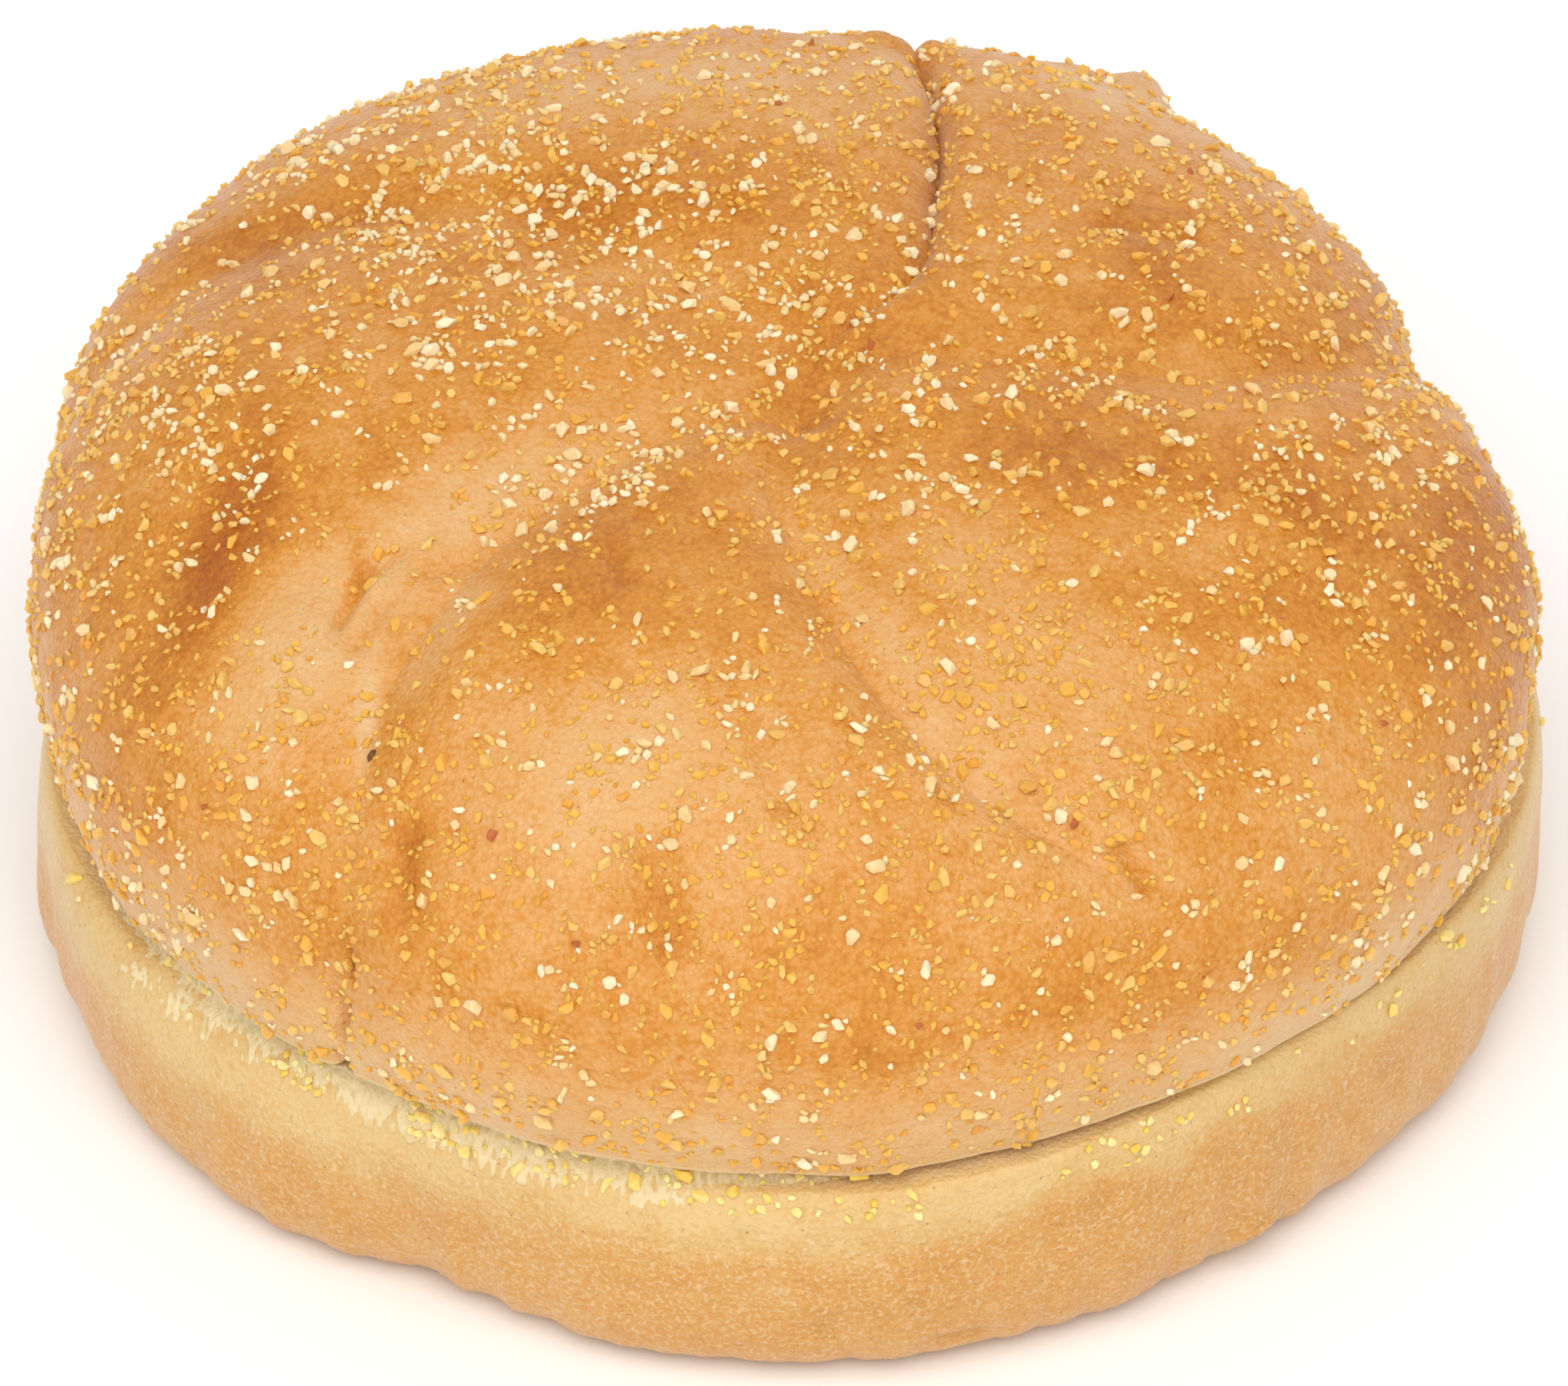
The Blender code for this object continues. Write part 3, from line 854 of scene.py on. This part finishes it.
def new_material(name, **settings):
    """A material and its shader, with the settings that are the same all over."""
    material = bpy.data.materials.new(name)
    material.use_nodes = True
    shader = material.node_tree.nodes["Principled BSDF"]
    for socket, value in settings.items():
        shader.inputs[socket.replace("_", " ")].default_value = value
    return material, shader


def per_metre(size):
    """A noise scale whose lumps are this many mm across."""
    return 1 / (size * MM)


def crust_material():
    """Bread crust, browned by dry oven heat: a thin, dull-shining skin with fine pits and wrinkles."""
    material, shader = new_material(
        "oven_browned_crust",
        IOR=1.42,
        Subsurface_Weight=0.12,
        Subsurface_Radius=(1.0, 0.45, 0.2),
        Subsurface_Scale=0.8 * MM,
        Sheen_Weight=0.5,
        Sheen_Roughness=0.25,
        Sheen_Tint=linear("#FFE8DC"),
    )
    link = material.node_tree.links.new
    here = add_node(material, "TexCoord").outputs["Object"]
    # The browning, with its painted shade and painted light.
    brown_and_painted_light = add_node(material, "Attribute", {"attribute_name": "browning"}).outputs["Fac"]
    scuffed = add_node(material, "Attribute", {"attribute_name": "scuffed"}).outputs["Fac"]
    patterns = []
    for size, detail, amount in BROWNING_MOTTLES:
        mottle = {"Scale": per_metre(size), "Detail": detail}
        patches = add_node(material, "TexNoise", mottle, {"Vector": here})
        patterns.append((patches.outputs["Fac"], amount))
    pebbles = add_node(material, "TexVoronoi", {"Scale": per_metre(PEBBLE_SIZE)}, {"Vector": here})
    # The pebbles' edges are painted darker too, as shade between them.
    patterns.append((pebbles.outputs["Distance"], PEBBLE_PAINTED_SHADE))
    for pattern, amount in patterns:
        spread = {"operation": "MULTIPLY_ADD", 1: amount, 2: -amount / 2}
        change = add_node(material, "Math", spread, {0: pattern})
        brown_and_painted_light = add_node(material, "Math", {"operation": "ADD"}, {0: brown_and_painted_light, 1: change.outputs[0]}).outputs[0]
    cap_shade = add_node(material, "ValToRGB", {"stops": CRUST_SHADES}, {"Fac": brown_and_painted_light}).outputs["Color"]
    ring_shade = add_node(material, "ValToRGB", {"stops": RING_SHADES}, {"Fac": brown_and_painted_light}).outputs["Color"]
    on_ring = add_node(material, "Attribute", {"attribute_name": "on_ring"}).outputs["Fac"]
    both = {0: on_ring, 6: cap_shade, 7: ring_shade}
    shade = add_node(material, "Mix", {"data_type": "RGBA"}, both).outputs[2]

    scales = {"Scale": per_metre(SCURF_SIZE), "Detail": 2.0, "Roughness": 0.6}
    scurf = add_node(material, "TexNoise", scales, {"Vector": here})
    flakes = add_node(
        material,
        "MapRange",
        {"From Min": 0.50, "From Max": 0.70, "To Max": 0.6},
        {"Value": scurf.outputs["Fac"]},
    )
    flaked = add_node(material, "Math", {"operation": "MULTIPLY"}, {0: flakes.outputs[0], 1: scuffed})

    pits = add_node(material, "TexVoronoi", {"Scale": per_metre(PORE_SIZE)}, {"Vector": here})
    specks = add_node(
        material,
        "MapRange",
        {"From Min": 0.09, "From Max": 0.05},
        {"Value": pits.outputs["Distance"]},
    )
    speckled = add_node(material, "Math", {"operation": "MULTIPLY", 1: 0.55}, {0: specks.outputs[0]})
    for share, colour in ((flaked, SCURF_COLOUR), (speckled, SPECK_COLOUR)):
        over = {"data_type": "RGBA", 7: linear(colour)}
        shade = add_node(material, "Mix", over, {0: share.outputs[0], 6: shade}).outputs[2]
    link(shade, shader.inputs["Base Color"])

    scales = {"Scale": per_metre(SCURF_SIZE), "Detail": 3.0, "Roughness": 0.6}
    fine = add_node(material, "TexNoise", scales, {"Vector": here})
    dimples = {"Scale": per_metre(DIMPLE_SIZE), "Detail": 2.0}
    coarse = add_node(material, "TexNoise", dimples, {"Vector": here})
    drawn = add_node(material, "Mapping", {"Scale": (0.3, 0.3, 1.6)}, {"Vector": here}).outputs["Vector"]
    folds = {"Scale": per_metre(WRINKLE_SIZE), "Detail": 2.0}
    wrinkles = add_node(material, "TexNoise", folds, {"Vector": drawn})
    skin = fine.outputs["Fac"]
    for pattern, share in ((pebbles, -0.5), (coarse, 0.8), (wrinkles, 0.9)):
        relief = {"operation": "MULTIPLY_ADD", 1: share}
        skin = add_node(material, "Math", relief, {0: pattern.outputs[0], 2: skin}).outputs[0]
    bump = add_node(material, "Bump", {"Strength": 1.0, "Distance": BUMP_OF_CRUST}, {"Height": skin})
    link(bump.outputs["Normal"], shader.inputs["Normal"])
    shine = add_node(
        material,
        "MapRange",
        {"To Min": 0.34, "To Max": 0.52},
        {"Value": coarse.outputs["Fac"]},
    )
    link(shine.outputs[0], shader.inputs["Roughness"])
    return material


def crumb_material():
    """White bread crumb, torn while it was soft: matt, pale and a little see-through."""
    material, shader = new_material(
        "torn_bread_crumb",
        Roughness=0.85,
        IOR=1.4,
        Subsurface_Weight=0.15,
        Subsurface_Radius=(1.0, 0.95, 0.9),
        Subsurface_Scale=0.25 * MM,
    )
    link = material.node_tree.links.new
    here = add_node(material, "TexCoord").outputs["Object"]
    depth = add_node(material, "Attribute", {"attribute_name": "browning"}).outputs["Fac"]
    streaks = add_node(material, "Mapping", {"Scale": (1.0, 1.0, 0.22)}, {"Vector": here}).outputs["Vector"]
    strands = {"Scale": per_metre(CRUMB_THREAD_SIZE), "Detail": 3.0}
    threads = add_node(material, "TexNoise", strands, {"Vector": streaks})
    spread = {"operation": "MULTIPLY_ADD", 1: 1.2, 2: -0.6}
    change = add_node(material, "Math", spread, {0: threads.outputs["Fac"]})
    tone = add_node(material, "Math", {"operation": "ADD"}, {0: depth, 1: change.outputs[0]})
    # The crumb is painted darker at its top and behind, as shade under the lip.
    shade = add_node(material, "ValToRGB", {"stops": CRUMB_COLOURS_AND_PAINTED_SHADE}, {"Fac": tone.outputs[0]})
    link(shade.outputs["Color"], shader.inputs["Base Color"])
    bump = add_node(
        material,
        "Bump",
        {"Strength": 0.8, "Distance": BUMP_OF_CRUMB},
        {"Height": threads.outputs["Fac"]},
    )
    link(bump.outputs["Normal"], shader.inputs["Normal"])
    return material


def cornmeal_material(name, pale, deep):
    """Coarse maize grits, milled to sharp corners: hard, waxy and see-through at the edges."""
    material, shader = new_material(
        name,
        Roughness=0.38,
        IOR=1.5,
        Subsurface_Weight=0.7,
        Subsurface_Radius=(1.0, 0.8, 0.45),
        Subsurface_Scale=0.5 * MM,
    )
    link = material.node_tree.links.new
    here = add_node(material, "TexCoord").outputs["Object"]
    tint = add_node(material, "Attribute", {"attribute_name": "tint"}).outputs["Fac"]
    grain = add_node(
        material,
        "TexNoise",
        {"Scale": per_metre(GRIT_GRAIN_SIZE), "Detail": 1.0},
        {"Vector": here},
    )
    spread = {"operation": "MULTIPLY_ADD", 1: 0.35, 2: -0.17}
    blend = add_node(material, "Math", spread, {0: grain.outputs["Fac"]})
    clamped = {"operation": "ADD", "use_clamp": True}
    tone = add_node(material, "Math", clamped, {0: tint, 1: blend.outputs[0]})
    shade = add_node(
        material,
        "Mix",
        {"data_type": "RGBA", 6: linear(pale), 7: linear(deep)},
        {0: tone.outputs[0]},
    )
    link(shade.outputs[2], shader.inputs["Base Color"])
    return material


def fleck_material(name, colour):
    """Toasted husk of the grain, or the seed's coat: thin, dry and brown."""
    material, shader = new_material(name, Roughness=0.55)
    here = add_node(material, "TexCoord").outputs["Object"]
    grain = add_node(
        material,
        "TexNoise",
        {"Scale": per_metre(BRAN_GRAIN_SIZE), "Detail": 2.0},
        {"Vector": here},
    )
    darker = [share * BRAN_SHADED for share in linear(colour)[:3]] + [1.0]
    shade = add_node(
        material,
        "Mix",
        {"data_type": "RGBA", 6: linear(colour), 7: darker},
        {0: grain.outputs["Fac"]},
    )
    material.node_tree.links.new(shade.outputs[2], shader.inputs["Base Color"])
    return material


def paint(piece, name, values):
    """Keeps a value for each vertex as an attribute that the materials read."""
    layer = piece.data.attributes.new(name, "FLOAT", "POINT")
    layer.data.foreach_set("value", np.asarray(values, np.float32))


def wrapped_grid(rows, top, bottom, painted):
    """A grid wrapped round the roll: its columns meet, and its first and last rows each close to a point."""
    ends = [np.broadcast_to(np.asarray(end), rows.shape[1:])[None] for end in (top, bottom)]
    closed = np.concatenate([ends[0], rows, ends[1]])
    last, columns = closed.shape[0] - 1, closed.shape[1]
    bpy.ops.object.select_all(action="DESELECT")
    bpy.ops.mesh.primitive_grid_add(x_subdivisions=last, y_subdivisions=columns, size=1.0)
    piece = bpy.context.object
    place = np.empty(len(piece.data.vertices) * 3)
    piece.data.vertices.foreach_get("co", place)
    place = place.reshape(-1, 3) + 0.5
    row = np.rint(place[:, 0] * last).astype(int)
    column = np.rint(place[:, 1] * columns).astype(int) % columns
    piece.data.vertices.foreach_set("co", closed[row, column].astype(np.float32).ravel())
    within = np.clip(row - 1, 0, len(rows) - 1)
    for name, values in painted.items():
        paint(piece, name, np.broadcast_to(values, rows.shape[:2])[within, column])
    bpy.ops.object.mode_set(mode="EDIT")
    bpy.ops.mesh.select_all(action="SELECT")
    bpy.ops.mesh.remove_doubles(threshold=WELD)
    bpy.ops.object.mode_set(mode="OBJECT")
    piece.data.shade_smooth()
    return piece


def finish_piece(piece, name, material):
    """Names a piece, gives it its material and ties it to the body."""
    piece.name = piece.data.name = name
    piece.data.materials.clear()
    piece.data.materials.append(material)
    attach(piece, "root")


def make_crust(rows):
    """The whole skin: cap, lip, seam, ring and base, as one closed surface."""
    down = distance_down(rows)
    angles = np.arctan2(rows[..., 1], rows[..., 0])
    normals = row_normals(rows)
    raised = stroke_heights(rows, angles, down)
    shaped = rows + normals * (raised * MM)[..., None]
    scuffed = np.clip((down - down[RING_ROW]) / BAND_TO, 0, 1)[:, None]
    on_ring = (down >= down[RING_ROW])[:, None]
    painted = {"browning": browning(rows, down, raised), "scuffed": scuffed, "on_ring": on_ring}
    crust = wrapped_grid(shaped, shaped[0].mean(0), (0, 0, 0), painted)
    finish_piece(crust, "baked_crust", crust_material())
    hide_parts("kaiser_roll")
    return crust


def crumb_rows():
    """The torn crumb: a shredded face from just under the lip to the ring's crust, and its back inside."""
    angle = np.arange(CRUMB_COLUMNS) / CRUMB_COLUMNS * 2 * np.pi
    unit = around(angle)
    sideways = np.column_stack([unit, 0 * angle])
    lip_z = lip_height(angle)
    gape = seam_gape(angle)
    torn = np.clip((gape - SEAM_CLOSED) / CRUMB_TORN_GAPE, 0, 1)
    lip_edge = CAP_MIDDLE + unit * (cap_radius(angle) - LIP_TUCK - LIP_ROUND)[:, None]
    start = lip_edge - unit * CRUMB_BACK
    rim = sideways * CAP_RADIUS
    ragged = lumps(rim, CRUMB_TOP_LUMPS, seed=9.0) + CRUMB_TOP_LOWERED
    top = lip_z - CRUMB_GAP - CRUMB_GAP_RAGGED * ragged
    foot = lip_z - gape - CRUMB_REACH * (1 + CRUMB_FOOT_WANDERS * lumps(rim, CRUMB_FOOT_LUMPS))
    shoulder_z = lip_z - gape
    tuft_top, tuft_more = CRUMB_TUFT_SHARES
    face = []
    for turn in np.linspace(0, 1, CRUMB_ROWS):
        height = top + (foot - top) * turn
        above = np.clip((height - RING_WIDEST_Z) / (shoulder_z - RING_WIDEST_Z), 0, 1)
        rounding = (1 - above**SHOULDER_POWER) ** (1 / SHOULDER_POWER)
        radius = ring_widest(angle) - shoulder_in(angle) * (1 - rounding) + CRUMB_PROUD * (1 - 2 * turn**2)
        crust = RING_MIDDLE + unit * radius[:, None]
        out = min(turn / CRUMB_CURVES_OUT, 1.0)
        out = math.sin(out * math.pi / 2)
        plan = start * (1 - out) + crust * out - unit * (CRUMB_SUNK * (1 - torn))[:, None]
        row = np.column_stack([plan, height])
        threads = lumps(row * CRUMB_THREADS_DRAWN, CRUMB_THREADS, seed=7.0)
        tufts = lumps(row * CRUMB_TUFTS_DRAWN, CRUMB_TUFTS, seed=2.0)
        shred = CRUMB_SHRED * torn * (CRUMB_THREAD_SHARE * threads + (tuft_top + tuft_more * turn) * tufts)
        face.append(row + sideways * shred[:, None])
    face = np.array(face)
    inward = sideways * CRUMB_THICK
    back = [face[0] - inward * share for share in CRUMB_BACK_STEPS]
    return np.array(back + list(face) + [face[-1] - inward])


def make_crumb():
    """Shreds of crumb in the seam's mouth, and the crumb behind them."""
    rows = crumb_rows()
    # 0 at the top of the face and behind it, where the crumb's colours paint shade under the lip.
    depth = np.clip((np.arange(len(rows)) - len(CRUMB_BACK_STEPS)) / CRUMB_ROWS, 0, 1)[:, None]
    crumb = wrapped_grid(rows, rows[0].mean(0), rows[-1].mean(0), {"browning": depth})
    finish_piece(crumb, "torn_crumb", crumb_material())
    return crumb


def model_grit(rng):
    """A milled grit: a rounded lump with flat faces broken off it, then drawn out and flattened."""
    bpy.ops.object.select_all(action="DESELECT")
    bpy.ops.mesh.primitive_ico_sphere_add(subdivisions=1, radius=0.5)
    grit = bpy.context.object
    bpy.ops.object.mode_set(mode="EDIT")
    for _ in range(GRIT_CUTS):
        away = Vector(rng.normal(size=3)).normalized()
        depth = rng.uniform(GRIT_CUT_FROM, GRIT_CUT_TO)
        bpy.ops.mesh.select_all(action="SELECT")
        bpy.ops.mesh.bisect(plane_co=away * depth, plane_no=away, use_fill=True, clear_outer=True)
    bpy.ops.mesh.select_all(action="SELECT")
    bpy.ops.mesh.quads_convert_to_tris()
    stretch = [rng.uniform(*span) for span in (GRIT_LENGTHS, GRIT_WIDTHS, GRIT_THICKNESSES)]
    bpy.ops.transform.resize(value=stretch)
    bpy.ops.object.mode_set(mode="OBJECT")
    points = np.array([v.co for v in grit.data.vertices])
    faces = np.array([p.vertices for p in grit.data.polygons])
    bpy.data.objects.remove(grit, do_unlink=True)
    return points / np.ptp(points, axis=0).mean(), faces


def heap(name, shapes, places, proud, material, rng, drawn=(1.0, 1.0, 1.0), spin=2 * math.pi):
    """One mesh of many copies: each place has a point, a normal and a size."""
    points, faces, tints = [], [], []
    count = 0
    for at, normal, size in places:
        shape, sides = shapes[rng.integers(len(shapes))]
        upright = (normal + Vector(rng.normal(0, GRIT_LEAN, 3))).normalized()
        turn = upright.to_track_quat("Z", "Y").to_matrix() @ Matrix.Rotation(rng.uniform(0, spin), 3, "Z")
        scaled = shape * size * drawn
        points.append(scaled @ np.array(turn).T + np.array(at + normal * size * proud))
        faces.append(sides + count)
        tints.append(np.full(len(shape), rng.random()))
        count += len(shape)
    data = bpy.data.meshes.new(name)
    data.from_pydata(np.concatenate(points).tolist(), [], np.concatenate(faces).tolist())
    piece = bpy.data.objects.new(name, data)
    bpy.context.scene.collection.objects.link(piece)
    paint(piece, "tint", np.concatenate(tints))
    finish_piece(piece, name, material)


def cover(points, drifts):
    """How thickly meal lies at each point of the cap."""
    plan = points[..., :2] / MM
    thick = np.full(plan.shape[:-1], THIN_COVER)
    for x, y, reach, amount in drifts:
        thick += amount * near_place(plan, (x, y), reach)
    for x, y, reach, amount in BARE_PLACES:
        thick *= 1 - amount * near_place(plan, (x, y), reach)
    size, uneven = COVER_PATCHES
    thick *= 1 + uneven * lumps(points, size, seed=4.0)
    return np.maximum(thick, LEAST_COVER)


def open_ground(rows):
    """Middle and area of every face of the cap above the lip."""
    cap = rows[: DOME_ROWS + SIDE_ROWS]
    beside = np.roll(cap, -1, 1)
    down, onward = cap[1:] - cap[:-1], beside[:-1] - cap[:-1]
    area = np.linalg.norm(np.cross(down, onward), axis=2)
    middle = (cap[1:] + cap[:-1] + beside[1:] + beside[:-1]) / 4
    return middle.reshape(-1, 3), area.ravel()


def grit_size(rng):
    """A grit's size: most are middling, few are large."""
    return float(np.clip(rng.lognormal(math.log(GRIT_MIDDLING), GRIT_SPREAD), GRIT_LEAST, GRIT_MOST))


class Settled:
    """Grits that have settled, kept in a coarse grid so that no two lie in the same place."""

    def __init__(self):
        """Starts with no grits."""
        self.cells = {}

    def cell(self, at):
        """The cell of the grid that a point lies in."""
        return tuple(int(c // GRIT_MOST) for c in at)

    def has_room(self, at, size):
        """Whether a grit of this size lies clear of the others here."""
        x, y, z = self.cell(at)
        for i in (x - 1, x, x + 1):
            for j in (y - 1, y, y + 1):
                for k in (z - 1, z, z + 1):
                    for other, reach in self.cells.get((i, j, k), ()):
                        if (at - other).length < GRIT_APART * (size + reach):
                            return False
        return True

    def add(self, at, size):
        """Keeps a grit's place and size."""
        self.cells.setdefault(self.cell(at), []).append((at, size))


def strewn(skin, ground, count, drifts, settled, rng):
    """Places on the cap, thicker in the drifts, some of them in small clumps."""
    middle, area = ground
    share = np.cumsum(area * cover(middle, drifts))
    places = []
    while len(places) < count:
        spot = middle[np.searchsorted(share, rng.random() * share[-1])]
        spot = Vector(spot + rng.normal(0, STREWN_ASIDE, 3))
        others = rng.integers(1, CLUMP_MOST + 1) if rng.random() < CLUMP_SHARE else 0
        for _ in range(1 + others):
            size = grit_size(rng)
            at, normal, _, _ = skin.find_nearest(spot)
            if settled.has_room(at, size) and at.z > LIP_Z:
                settled.add(at, size)
                places.append((at, normal, size))
            spot = at + Vector(rng.normal(0, 1, 3)).normalized() * CLUMP_REACH * MM
    return places


def caught(skins, settled, rng):
    """Places of meal caught in the seam's mouth."""
    places = []
    for at, reach, count in SEAM_MEAL:
        for _ in range(count):
            angle = math.radians(at + rng.normal(0, reach / 2))
            out = Vector((math.cos(angle), math.sin(angle), 0))
            level = LIP_Z - rng.uniform(*SEAM_MEAL_DOWN) * MM
            start = Vector((*RING_MIDDLE, level)) + out * CAP_RADIUS * THROWN_FROM
            hits = [skin.ray_cast(start, -out) for skin in skins]
            spot, normal, _, _ = min(hits, key=lambda hit: 1.0 if hit[3] is None else hit[3])
            size = grit_size(rng)
            if spot is not None and settled.has_room(spot, size):
                settled.add(spot, size)
                places.append((spot, normal, size))
    return places


def fleck_places(skin, rows, down, flecks):
    """Places of flecks, each given by its angle, its distance down from the summit and its size."""
    places = []
    for at, depth, size in flecks:
        row = rows[np.argmin(np.abs(down / MM - depth))]
        angles = np.arctan2(row[:, 1], row[:, 0])
        point = row[np.argmin(np.abs(turned(angles - math.radians(at))))]
        spot, normal, _, _ = skin.find_nearest(Vector(point))
        places.append((spot, normal, size * MM))
    return places


def light_the_scene():
    """Plain pale floor, white surroundings, a large soft light in front and a weaker one behind."""
    bpy.ops.object.select_all(action="DESELECT")
    bpy.ops.mesh.primitive_plane_add(size=8.0, location=(0, 0, 0))
    floor = bpy.context.object
    floor.name = floor.data.name = "floor"
    material, shader = new_material("matt_white_board", Roughness=0.9)
    shader.inputs["Base Color"].default_value = linear("#FDFDFC")
    floor.data.materials.append(material)
    scene = bpy.context.scene
    world = bpy.data.worlds.new("white_room")
    world.use_nodes = True
    sky = world.node_tree.nodes["Background"]
    sky.inputs["Color"].default_value = (1, 1, 1, 1)
    sky.inputs["Strength"].default_value = ROOM_LIGHT
    scene.world = world
    for name, place, size, power in LAMPS:
        data = bpy.data.lights.new(name, "AREA")
        data.size = size
        data.energy = power
        lamp = bpy.data.objects.new(name, data)
        lamp.location = place
        lamp.rotation_euler = (-Vector(place)).to_track_quat("-Z", "Y").to_euler()
        scene.collection.objects.link(lamp)
    scene.view_settings.view_transform = "Standard"


def surface(piece):
    """The piece's faces, kept so that the nearest point on them can be found."""
    corners = [v.co for v in piece.data.vertices]
    return BVHTree.FromPolygons(corners, [p.vertices for p in piece.data.polygons])


def dress_roll():
    """Makes the crust and the crumb, and strews the meal on them."""
    rng = np.random.default_rng(RANDOM_SEED)
    rows = crust_rows()
    down = distance_down(rows)
    crust_skin = surface(make_crust(rows))
    crumb_skin = surface(make_crumb())
    ground = open_ground(rows)
    shapes = [model_grit(rng) for _ in range(GRIT_SHAPES)]
    settled = Settled()
    for name, count, drifts, proud, pale, deep in CORNMEAL:
        places = strewn(crust_skin, ground, count, drifts, settled, rng)
        heap(name, shapes, places, proud, cornmeal_material(name, pale, deep), rng)
    places = caught((crumb_skin, crust_skin), settled, rng)
    seam_meal = cornmeal_material("cornmeal_in_seam", *SEAM_MEAL_COLOURS)
    heap("cornmeal_in_seam", shapes, places, SEAM_MEAL_PROUD, seam_meal, rng)
    flecks = fleck_places(crust_skin, rows, down, BRAN)
    bran = fleck_material("toasted_bran", BRAN_COLOUR)
    heap("toasted_bran", shapes, flecks, FLECK_PROUD, bran, rng, drawn=BRAN_FLATTENED)
    seed = fleck_places(crust_skin, rows, down, (SEED,))
    seed_coat = fleck_material("dark_seed", SEED_COLOUR)
    heap("dark_seed", shapes[:1], seed, FLECK_PROUD, seed_coat, rng, drawn=SEED_DRAWN, spin=0.0)


add_camera()
dress_roll()
light_the_scene()
